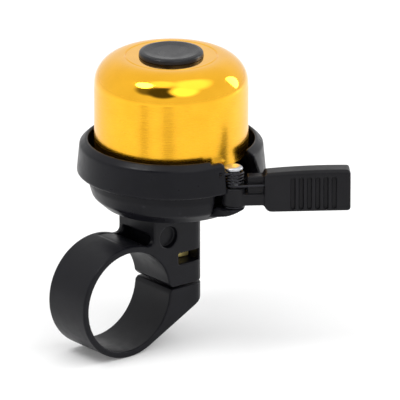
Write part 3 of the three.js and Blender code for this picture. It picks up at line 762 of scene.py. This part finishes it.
def pad_shape(x, y, z):
    """The thumb pad, crowned on top, with six grooves down its front."""
    side = polygon(outline([
        (PAD_START, PAD_BOTTOM_Z, 1.6),
        (PAD_END, PAD_BOTTOM_Z, 0.7),
        (PAD_END, 31),
        (PAD_START, 31),
    ]))(x, z)
    shape = common(side, np.abs(y) - PAD_HALF, 0.4)
    crown_radius = 165
    crown_x = 20
    crown = disc(x, z, crown_radius, (crown_x, LEVER_TOP_Z - 0.03 - crown_radius))
    shape = common(shape, crown, 0.85)
    for i in range(6):
        groove_x = 12.6 + 1.77 * i
        reach = z - np.clip(z, PAD_BOTTOM_Z + 0.9, 28.1)
        groove = common(np.hypot(x - groove_x, reach) - 0.5, y + PAD_HALF - 0.7, 0.15)
        shape = without(shape, groove, 0.18)
    return shape


def lever_shape(x, y, z):
    x, y = turned_frame(x - PIVOT[0], y - PIVOT[1], LEVER_ANGLE)
    arm = common(
        polygon(box_outline(-0.5, PAD_START + 1.2, HUB[0], ARM_TOP_Z, 0.3))(x, z),
        np.abs(y) - 1.7,
        0.35,
    )
    web = common(
        polygon(box_outline(2.9, PAD_START + 1.2, -0.9, 1.7, 0.3))(x, y),
        between(z, ARM_TOP_Z - 0.6, WEB_TOP_Z),
        0.3,
    )
    arm = joined(arm, web, 0.3)
    hub = common(np.hypot(x, y) - 2.5, between(z, *HUB), 0.25)
    along, across = turned_frame(x, y, HAMMER_ANGLE - LEVER_ANGLE)
    tail = common(between(along, -6, 6), np.abs(across) - TAIL_HALF, 0.4)
    tail = common(common(tail, -along), between(z, *TAIL), 0.15)
    shape = joined(joined(pad_shape(x, y, z), arm, 0.5), joined(hub, tail, 0.3), 0.4)
    shape = without(shape, np.hypot(x, y) - 1.5, 0.15)
    shape = without(shape, disc(along, across, 0.75, (4.1, 0)), 0.1)
    leg = common(np.hypot(y + 1.5, z - SPRING_LEG_Z) - 0.5, between(x, PAD_START - 2, PAD_START + 1.2))
    return without(shape, leg, 0.1)


# ---- Small parts --------------------------------------------------------------------------------


def cross_socket(u, v, z, floor, mouth):
    arms = np.minimum(
        np.maximum(np.abs(u) - 1.5, np.abs(v) - 0.35),
        np.maximum(np.abs(u) - 0.35, np.abs(v) - 1.5),
    )
    taper = (z - floor) / (mouth - floor) * 0.15
    return common(arms - taper, between(z, floor, mouth + 2))


def screw_shape(node, up, head_radius, head_height):
    """A pan-head M3 screw with a rolled thread near its tip. `up` is 1 with the head on top."""
    low, high = cad(node)
    centre = (low + high) / 2
    seat = high[2] - head_height if up > 0 else -(low[2] + head_height)
    tip = seat - (high[2] - low[2] - head_height)
    pitch = 0.5

    def shape(x, y, z):
        u, v, w = x - centre[0], up * (y - centre[1]), up * z
        radius = np.hypot(u, v)
        crown = np.hypot(radius, w - (seat + head_height - 9)) - 9
        head = common(common(radius - head_radius, crown, 0.5), seat - w, 0.12)
        turn = np.arctan2(v, u) / (2 * math.pi)
        wave = np.abs((w / pitch - turn) % 1 - 0.5) * 2
        cut = np.clip((tip + 12 - w) / 0.6, 0, 1)
        shank = (radius - SCREW_RADIUS + 0.3 * (1 - wave) * cut) * 0.75
        shank = common(shank, between(w, tip, seat + 0.5), 0.35)
        socket = cross_socket(u, v, w, seat + head_height * 0.3, seat + head_height)
        return without(joined(head, shank, 0.1), socket, 0.1)

    return shape


def nut_shape(node):
    """Thin square nut with a chamfered top and a threaded hole."""
    low, high = cad(node)
    centre = (low + high) / 2
    half = (high[0] - low[0]) / 2

    def shape(x, y, z):
        u, v = x - centre[0], y - centre[1]
        plan = polygon(box_outline(-half, half, -half, half, 0.3))(u, v)
        body = common(plan, between(z, low[2], high[2]), 0.12)
        body = common(body, np.hypot(u, v) * 0.6 + (z - high[2]) * 0.8 - half * 0.66, 0.08)
        turn = np.arctan2(v, u) / (2 * math.pi)
        wave = np.abs((z / 0.5 - turn) % 1 - 0.5) * 2
        return without(body, (np.hypot(u, v) - SCREW_HOLE + 0.2 * wave) * 0.8, 0.1)

    return shape


def arm_shape(x, y, z):
    """The leaf that carries the hammer: a stamped strip with two holes."""
    low, high = cad("hammer_arm")
    along, across = turned_frame(x - RIVET[0], y - RIVET[1], HAMMER_ANGLE)
    reach = math.hypot(HAMMER[0] - RIVET[0], HAMMER[1] - RIVET[1])
    plan = polygon(outline([
        (-1.2, -1.2, 0.6),
        (reach + 1.3, -1.2, 0.9),
        (reach + 1.3, 1.2, 0.9),
        (-1.2, 1.2, 0.6),
    ]))(along, across)
    strip = common(plan, between(z, low[2], high[2]), 0.12)
    strip = without(strip, disc(along, across, 0.75), 0.06)
    return without(strip, disc(along, across, 0.75, (reach, 0)), 0.06)


def split_washer(node):
    """A spring washer: one turn of square wire, cut on a slant and sprung open."""
    low, high = cad(node)
    outer = 2.8
    thick = 0.45
    rise = high[2] - low[2] - thick
    steps = 72
    gap = 0.16
    points, faces = [], []
    section = [(SCREW_HOLE, 0), (outer, 0), (outer, thick), (SCREW_HOLE, thick)]
    for i in range(steps + 1):
        angle = gap + (2 * math.pi - 2 * gap) * i / steps
        lift = low[2] + rise * i / steps
        points += [(r * math.cos(angle), r * math.sin(angle), lift + z) for r, z in section]
    for i in range(steps):
        for k in range(4):
            m = (k + 1) % 4
            faces.append([4 * i + k, 4 * i + m, 4 * i + 4 + m, 4 * i + 4 + k][::-1])
    faces.append([0, 1, 2, 3])
    faces.append([4 * steps + k for k in range(4)][::-1])
    piece = add_mesh(node + "_turn", points, faces, (BELL_X, 0, 0), math.radians(40))
    bevel = piece.modifiers.new("bevel", "BEVEL")
    bevel.width = 0.06 * MM
    bevel.segments = 2
    bevel.limit_method = "ANGLE"
    bevel.angle_limit = math.radians(50)
    return piece


def washer(name, node, inner):
    low, high = cad(node)
    outer = (high[0] - low[0]) / 2
    edge = min(0.12, (high[2] - low[2]) / 3)
    corners = [
        (inner, low[2], edge / 2),
        (outer, low[2], edge),
        (outer, high[2], edge),
        (inner, high[2], edge / 2),
    ]
    return lathed(name, corners, (low + high) / 2)


DOME_SHEET = 1.1
DIMPLE_DEPTH = 2.3


def dome(node):
    """Pressed dome: satin side, round shoulder, a fine groove, and a dimple for the cap."""
    low, high = cad(node)
    radius = high[0] - BELL_X
    sheet = DOME_SHEET
    bottom, top = low[2], high[2]
    shoulder = 6.2
    groove = 9.9
    dimple_z = top - DIMPLE_DEPTH
    inner = radius - sheet
    return lathed("dome_shell", [
        (2.3, dimple_z - sheet),
        (6.2, dimple_z - sheet, 0.3),
        (6.9, top - sheet, 0.4),
        (inner, top - sheet, shoulder - sheet),
        (inner, bottom, 0.15),
        (radius, bottom, 0.2),
        (radius, top, shoulder),
        (groove + 0.22, top, 0.05),
        (groove, top - 0.16, 0.06),
        (groove - 0.22, top, 0.05),
        (6.1, top, 0.3),
        (5.5, dimple_z, 0.3),
        (2.3, dimple_z),
    ], BELL, segments=192, steps=16)


def top_cap(node):
    """Push-in cap with a soft rim and a dished top."""
    low, high = cad(node)
    radius = high[0] - BELL_X
    base = DOME_HIGH[2] + GAP
    top = high[2]
    return lathed("cap", [
        (0, base + 0.45),
        (4.3, base + 0.45, 0.2),
        (4.3, low[2], 0.1),
        (5.2, low[2], 0.15),
        (5.4, base, 0.1),
        (radius, base, 0.04),
        (radius - 0.12, top - 0.18, 0.5),
        (radius - 1.0, top - 0.01, 0.9),
        (4.0, top - 0.22, 2.0),
        (0, top - 0.33),
    ], BELL, segments=128, steps=8)


def dome_bush(node):
    low, high = cad(node)
    flange_top = DOME_HIGH[2] - DIMPLE_DEPTH - DOME_SHEET - GAP
    return lathed("bush", [
        (SCREW_HOLE, low[2], 0.1),
        (4, low[2], 0.15),
        (4, flange_top, 0.15),
        (2.2, flange_top, 0.05),
        (2.2, high[2], 0.1),
        (SCREW_HOLE, high[2], 0.1),
    ], BELL)


def pivot_pin(node):
    low, high = cad(node)
    head = (high[0] - low[0]) / 2
    return lathed("pin", [
        (0, low[2]),
        (1.25, low[2], 0.25),
        (1.25, high[2] - 0.8, 0.05),
        (head, high[2] - 0.8, 0.1),
        (head, high[2] - 0.42, 0.25),
        (head * 0.75, high[2] - 0.06, 0.5),
        (0, high[2]),
    ], PIVOT)


def arm_rivet(node):
    low, high = cad(node)
    head = (high[0] - low[0]) / 2
    return lathed("rivet", [
        (0, low[2]),
        (head - 0.1, low[2] + 0.04, 0.1),
        (head, low[2] + 0.3, 0.05),
        (0.7, low[2] + 0.3),
        (0.7, high[2] - 0.45),
        (head, high[2] - 0.45, 0.05),
        (head - 0.1, high[2] - 0.08, 0.2),
        (0, high[2]),
    ], RIVET, segments=64)


def hammer_head(node):
    """Turned stud with a rounded nose; its tail is closed over below the arm."""
    low, high = cad(node)
    radius = 1.5
    arm_low, arm_high = cad("hammer_arm")
    return lathed("hammer", [
        (0, low[2]),
        (0.9, low[2] + 0.03, 0.2),
        (1.1, arm_low[2] - GAP, 0.05),
        (0.7, arm_low[2] - GAP),
        (0.7, arm_high[2] + GAP),
        (radius, arm_high[2] + GAP, 0.12),
        (radius, arm_high[2] + 2.2, 0.05),
        (radius - 0.15, arm_high[2] + 2.35, 0.05),
        (radius - 0.15, arm_high[2] + 2.65, 0.05),
        (radius, arm_high[2] + 2.8, 0.05),
        (radius, high[2], 0.9),
        (0, high[2]),
    ], HAMMER)


def torsion_spring():
    """Four close coils round the pin, anchored in the saucer above and in the pad below."""
    coil_radius = 2.0
    wire = 0.27
    turns = 4
    per_turn = 40
    frame_angle = CUTOUT_ANGLE + math.pi / 2

    def anchor(run):
        out = SPRING_ANCHOR[1]
        return np.array([
            run * math.cos(frame_angle) + out * math.cos(CUTOUT_ANGLE) + BELL_X,
            run * math.sin(frame_angle) + out * math.sin(CUTOUT_ANGLE),
            SPRING_TOP_Z,
        ])

    def leg(along, across):
        c, s = math.cos(LEVER_ANGLE), math.sin(LEVER_ANGLE)
        return np.array([
            PIVOT[0] + along * c - across * s,
            PIVOT[1] + along * s + across * c,
            SPRING_LEG_Z,
        ])

    start = math.radians(205)
    sweep = LEVER_ANGLE - math.pi / 2 + 2 * math.pi - start + turns * 2 * math.pi
    steps = round(sweep / (2 * math.pi) * per_turn)
    coil = []
    for i in range(steps + 1):
        angle = start + sweep * i / steps
        coil.append([
            PIVOT[0] + coil_radius * math.cos(angle),
            PIVOT[1] + coil_radius * math.sin(angle),
            SPRING_TOP_Z + (SPRING_LEG_Z - SPRING_TOP_Z) * i / steps,
        ])
    upper = straight(anchor(SPRING_ANCHOR[0] - 1.1), coil[0], 14)
    lower = straight(coil[-1], leg(PAD_START + 0.8, -1.5), 14)
    return tube("spring", [*upper[:-1], *coil, *lower[1:]], wire)


def straight(start, end, steps):
    start, end = np.array(start), np.array(end)
    return [start + (end - start) * i / steps for i in range(steps + 1)]


# ---- Assembly -----------------------------------------------------------------------------------


def net(name, shape, cell):
    """A maker of a moulded piece, meshed within its CAD node's box."""
    return lambda node: moulded(name, shape, *cad(node), cell)


def ring(name, inner):
    return lambda node: washer(name, node, inner)


centre_screw = screw_shape("centre_screw", 1, 2.75, 1.2)
clamp_screw = screw_shape("clamp_screw", -1, 2.8, 2.0)

# Each CAD node with its body, its material slot and the maker of the piece that stands for it.
PIECES = (
    ("clamp_bracket", "body", "bracket_plastic", net("bracket", bracket_shape, 0.26)),
    ("base_saucer", "body", "saucer_plastic", net("saucer", saucer_shape, 0.3)),
    ("thumb_lever", "lever", "lever_plastic", net("lever", lever_shape, 0.2)),
    ("dome", "body", "gold_dome", dome),
    ("top_cap", "body", "cap_plastic", top_cap),
    ("dome_bush", "body", "nylon", dome_bush),
    ("centre_sleeve", "body", "aluminium", ring("sleeve", 1.9)),
    ("dome_washer", "body", "steel", ring("flat_washer_top", SCREW_HOLE)),
    ("clamp_washer", "body", "steel", ring("flat_washer_clamp", SCREW_HOLE)),
    ("pivot_washer", "body", "dark_steel", ring("lever_washer", 1.5)),
    ("spring_washer", "body", "dark_steel", split_washer),
    ("centre_screw", "body", "steel", net("screw_centre", centre_screw, 0.14)),
    ("clamp_screw", "body", "steel", net("screw_clamp", clamp_screw, 0.12)),
    ("base_nut", "body", "steel", net("nut_base", nut_shape("base_nut"), 0.12)),
    ("clamp_nut", "body", "brass_nut", net("nut_clamp", nut_shape("clamp_nut"), 0.12)),
    ("pivot_pin", "body", "steel", pivot_pin),
    ("arm_rivet", "lever", "steel", arm_rivet),
    ("hammer_arm", "hammer", "spring_steel", net("leaf_arm", arm_shape, 0.1)),
    ("hammer_head", "hammer", "brass", hammer_head),
)


def place_pieces():
    for node, body, slot, make in PIECES:
        install(make(node), node, body, slot)
    # The spring's dark steel is partly painted shade: the coil is coloured dark because it sits in shade
    # in the cut-out.
    spring = install(torsion_spring(), "torsion_spring", None, "dark_steel")
    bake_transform(spring)


# ---- Studio -------------------------------------------------------------------------------------

AZIMUTH = math.radians(-38.6)
ELEVATION = math.radians(19.6)
DISTANCE = 2000.0
FRAME_WIDTH = 86.1  # what the image spans at the object
AIM = np.array([16.0, -4.0, 20.0])
AIM_SHIFT = (3.92, -0.74)  # right and up in the image plane


def view_axes():
    back = np.array([
        math.sin(AZIMUTH) * math.cos(ELEVATION),
        -math.cos(AZIMUTH) * math.cos(ELEVATION),
        math.sin(ELEVATION),
    ])
    right = np.array([math.cos(AZIMUTH), math.sin(AZIMUTH), 0])
    return right, np.cross(back, right), back


def camera():
    right, up, back = view_axes()
    data = bpy.data.cameras.new("camera")
    data.sensor_width = 36
    data.lens = 36 * DISTANCE / FRAME_WIDTH
    data.clip_start = 0.01
    data.clip_end = 100
    made = bpy.data.objects.new("camera", data)
    target = AIM + right * AIM_SHIFT[0] + up * AIM_SHIFT[1]
    made.location = Vector(target + back * DISTANCE) * MM
    made.rotation_mode = "QUATERNION"
    made.rotation_quaternion = Vector(-back).to_track_quat("-Z", "Y")
    bpy.context.scene.collection.objects.link(made)
    bpy.context.scene.camera = made


def soft_box(name, right_share, up_share, back_share, distance, width, height, power, colour=(1, 1, 1)):
    """A rectangular lamp placed by directions in the camera's view, aimed at the bell."""
    right, up, back = view_axes()
    direction = right * right_share + up * up_share + back * back_share
    direction /= np.linalg.norm(direction)
    data = bpy.data.lights.new(name, "AREA")
    data.shape = "ELLIPSE"
    data.size = width * MM
    data.size_y = height * MM
    data.energy = power
    data.color = colour
    lamp = bpy.data.objects.new(name, data)
    lamp.location = Vector(AIM + direction * distance) * MM
    lamp.rotation_mode = "QUATERNION"
    lamp.rotation_quaternion = Vector(-direction).to_track_quat("-Z", "Y")
    bpy.context.scene.collection.objects.link(lamp)
    return lamp


def floor():
    """A wide pale floor just under the clamp."""
    half = 4000
    z = BRACKET_LOW[2] - 0.02
    points = [(-half, -half, z), (half, -half, z), (half, half, z), (-half, half, z)]
    piece = add_mesh("floor", points, [[0, 1, 2, 3]])
    look = Look("floor_paint")
    look.shader.inputs["Emission Strength"].default_value = 0.1
    look.shader.inputs["Emission Color"].default_value = (1, 1, 1, 1)
    look.shader.inputs["Specular IOR Level"].default_value = 0.1
    tone = look.range(look.noise(60, 3.0), 0.3, 0.7)
    colour = look.mix(tone, (0.77, 0.77, 0.77, 1), (0.8, 0.8, 0.8, 1))
    piece.data.materials.append(look.done(colour, 0.8))


def toward(azimuth, elevation):
    """A direction by degrees to the right of the camera, seen from the bell, and upward."""
    a, e = math.radians(azimuth), math.radians(elevation)
    level_back = np.array([math.sin(AZIMUTH), -math.cos(AZIMUTH), 0])
    level_right = np.array([math.cos(AZIMUTH), math.sin(AZIMUTH), 0])
    return math.cos(e) * (math.cos(a) * level_back + math.sin(a) * level_right) + [0, 0, math.sin(e)]


# Round patches of the studio: azimuth, elevation, half angle, softness (degrees) and brightness.
STUDIO_PATCHES = (
    (-42, 40, 16, 6, 0.2),  # the dark opening round the camera
    (-14, 38, 21, 5, 0.08),
    (24, 42, 17, 7, 2.4),
    (60, 62, 19, 8, 2.0),
    (-35, 74, 12, 5, 1.8),
)

# Standing cards that only show in reflections: azimuth, width and brightness.
CARDS = (
    (-38, 22, 0.55),
    (-4, 30, 0.6),
    (22, 18, 1.3),
)


def world():
    """A white tent with a dark opening and two brighter panels, which the dome mirrors."""
    made = bpy.data.worlds.new("studio")
    bpy.context.scene.world = made
    made.use_nodes = True
    tree = made.node_tree
    facing = tree.nodes.new("ShaderNodeTexCoord").outputs["Generated"]
    brightness = None
    for azimuth, elevation, half, soft, level in STUDIO_PATCHES:
        nearness = tree.nodes.new("ShaderNodeVectorMath")
        nearness.operation = "DOT_PRODUCT"
        tree.links.new(facing, nearness.inputs[0])
        nearness.inputs[1].default_value = toward(azimuth, elevation)
        mask = tree.nodes.new("ShaderNodeMapRange")
        mask.interpolation_type = "SMOOTHSTEP"
        tree.links.new(nearness.outputs["Value"], mask.inputs["Value"])
        mask.inputs["From Min"].default_value = math.cos(math.radians(half + soft))
        mask.inputs["From Max"].default_value = math.cos(math.radians(half - soft))
        patch = tree.nodes.new("ShaderNodeMix")
        patch.data_type = "RGBA"
        patch.inputs["A"].default_value = (1, 1, 1, 1)
        patch.inputs["B"].default_value = (level, level, level, 1)
        tree.links.new(mask.outputs["Result"], patch.inputs["Factor"])
        if brightness:
            tree.links.new(brightness, patch.inputs["A"])
        brightness = patch.outputs["Result"]
    background = tree.nodes["Background"]
    tree.links.new(brightness, background.inputs["Color"])
    background.inputs["Strength"].default_value = 1.0


def cards():
    """Upright cards round the bell, which put soft bands on the dome's satin side."""
    distance = 120.0
    low, high = BRACKET_LOW[2], 16.0
    fade_start = 0.0
    for number, (azimuth, width, level) in enumerate(CARDS, 1):
        middle = BELL + toward(azimuth, 0) * distance
        across = toward(azimuth + 90, 0) * width / 2
        corners = [(middle - across)[:2], (middle + across)[:2]]
        points = [(*corner, z) for z in (low, high) for corner in corners]
        card = add_mesh(f"card_{number}", points, [[0, 1, 3, 2]])
        look = Look(f"card_{number}")
        look.shader.inputs["Emission Strength"].default_value = 1.0
        look.shader.inputs["Specular IOR Level"].default_value = 0.0
        height = look.node("ShaderNodeSeparateXYZ", Vector=look.place).outputs["Z"]
        fade = look.range(height, fade_start * MM, high * MM)
        glow = look.mix(fade, (level, level, level, 1), (1, 1, 1, 1))
        look.feed(look.shader.inputs["Emission Color"], glow)
        card.data.materials.append(look.done((0, 0, 0, 1), 1.0))
        card.visible_camera = False
        card.visible_diffuse = False
        card.visible_shadow = False


def studio():
    camera()
    floor()
    cards()
    world()
    bpy.context.scene.view_settings.view_transform = "Standard"
    soft_box("key", -0.55, 0.8, 0.6, 420, 150, 150, 0.6)
    soft_box("rim", 0.9, 0.45, -0.25, 420, 120, 260, 0.45)


place_pieces()
studio()
